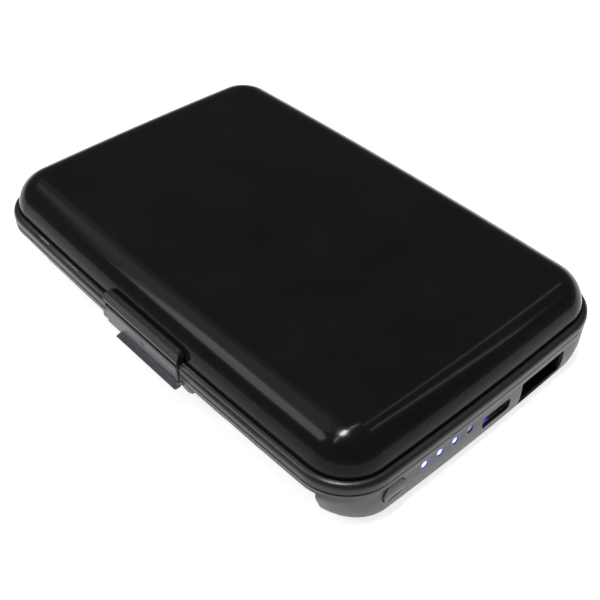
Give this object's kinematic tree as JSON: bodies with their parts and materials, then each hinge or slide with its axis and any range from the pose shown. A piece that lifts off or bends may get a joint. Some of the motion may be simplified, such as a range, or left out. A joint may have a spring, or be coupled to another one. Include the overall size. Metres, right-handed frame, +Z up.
{
  "type": "card wallet with built-in power bank",
  "caption": "Hard-shell hinged card wallet whose lower half is a rechargeable power bank with USB ports, charge lights and a button.",
  "frame": {"origin": "on the flat underside, at the centre of the case's outline", "axes": "+X towards the end with the ports, -Y towards the latch, +Y towards the lid hinge, +Z up"},
  "size_m": [0.112, 0.0784, 0.0195],
  "materials": {
    "black_gloss": "glossy black lacquer over aluminium",
    "frame_plastic": "black satin ABS",
    "latch_plastic": "black satin ABS with grip ribs",
    "steel": "bare steel",
    "nickel": "nickel plate",
    "gold": "gold flash",
    "tray_plastic": "moulded ABS",
    "foil": "laminated foil",
    "foam": "closed cell foam",
    "board": "green solder mask",
    "chip": "moulded epoxy",
    "white_plastic": "nylon",
    "light_plastic": "clear acrylic light guide",
    "red_wire": "PVC insulation",
    "black_wire": "PVC insulation",
    "leaf_plastic": "embossed polypropylene sheet"
  },
  "bodies": {
    "base": {"lower_shell": "black_gloss", "base_frame": "frame_plastic", "hinge_pins": "steel", "latch_pin": "steel", "battery_tray": "tray_plastic", "cell_tape": "foam", "battery_cell": "foil", "cell_protection_board": "board", "cell_foam_pad": "foam", "battery_cover": "tray_plastic", "cover_screws": "steel", "circuit_board": "board", "board_screws": "steel", "usb_a_shell": "nickel", "usb_a_tongue": "white_plastic", "usb_a_contacts": "gold", "micro_usb_shell": "nickel", "micro_usb_tongue": "chip", "charge_leds": "white_plastic", "light_guide": "light_plastic", "power_switch": "chip", "boost_inductor": "chip", "charge_chip": "chip", "board_capacitors": "foam", "board_resistors": "chip", "red_lead": "red_wire", "black_lead": "black_wire", "card_floor": "leaf_plastic"},
    "lid": {"lid_shell": "black_gloss", "lid_frame": "frame_plastic"},
    "latch": {"latch_lever": "latch_plastic", "latch_spring": "steel"},
    "button": {"power_button": "frame_plastic"},
    "plunger": {"switch_plunger": "white_plastic"},
    "leaf_1": {"card_leaf_1": "leaf_plastic"},
    "leaf_2": {"card_leaf_2": "leaf_plastic"},
    "leaf_3": {"card_leaf_3": "leaf_plastic"},
    "leaf_4": {"card_leaf_4": "leaf_plastic"},
    "leaf_5": {"card_leaf_5": "leaf_plastic"},
    "leaf_6": {"card_top_leaf": "leaf_plastic"}
  },
  "joints": [
    {"name": "lid_hinge", "type": "hinge", "parent": "base", "child": "lid", "pos_m": [0, 0.03765, 0.01], "axis": [-1, 0, 0], "range_deg": [0, 95]},
    {"name": "latch_press", "type": "hinge", "parent": "base", "child": "latch", "pos_m": [0, -0.03675, 0.008], "axis": [1, 0, 0], "range_deg": [0, 8], "stiffness_Nm_per_rad": 0.05, "springref_deg": -5.73},
    {"name": "button_press", "type": "slide", "parent": "base", "child": "button", "axis": [-1, 0, 0], "range_m": [0, 0.0004], "stiffness_N_per_m": 200, "springref_m": -0.0004},
    {"name": "plunger_press", "type": "slide", "parent": "base", "child": "plunger", "axis": [-1, 0, 0], "range_m": [0, 0.0004]},
    {"name": "leaf_fold_1", "type": "hinge", "parent": "base", "child": "leaf_1", "pos_m": [0, 0.03765, 0.01], "axis": [-1, 0, 0], "range_deg": [0, 16]},
    {"name": "leaf_fold_2", "type": "hinge", "parent": "leaf_1", "child": "leaf_2", "pos_m": [0, 0.03765, 0.01], "axis": [-1, 0, 0], "range_deg": [0, 16]},
    {"name": "leaf_fold_3", "type": "hinge", "parent": "leaf_2", "child": "leaf_3", "pos_m": [0, 0.03765, 0.01], "axis": [-1, 0, 0], "range_deg": [0, 16]},
    {"name": "leaf_fold_4", "type": "hinge", "parent": "leaf_3", "child": "leaf_4", "pos_m": [0, 0.03765, 0.01], "axis": [-1, 0, 0], "range_deg": [0, 16]},
    {"name": "leaf_fold_5", "type": "hinge", "parent": "leaf_4", "child": "leaf_5", "pos_m": [0, 0.03765, 0.01], "axis": [-1, 0, 0], "range_deg": [0, 16]},
    {"name": "leaf_fold_6", "type": "hinge", "parent": "leaf_5", "child": "leaf_6", "pos_m": [0, 0.03765, 0.01], "axis": [-1, 0, 0], "range_deg": [0, 16]}
  ],
  "couplings": [
    {"joint": "plunger_press", "follows": "button_press", "ratio": 1},
    {"joint": "leaf_fold_1", "follows": "lid_hinge", "ratio": 0.16667},
    {"joint": "leaf_fold_2", "follows": "lid_hinge", "ratio": 0.16667},
    {"joint": "leaf_fold_3", "follows": "lid_hinge", "ratio": 0.16667},
    {"joint": "leaf_fold_4", "follows": "lid_hinge", "ratio": 0.16667},
    {"joint": "leaf_fold_5", "follows": "lid_hinge", "ratio": 0.16667},
    {"joint": "leaf_fold_6", "follows": "lid_hinge", "ratio": 0.16667}
  ]
}
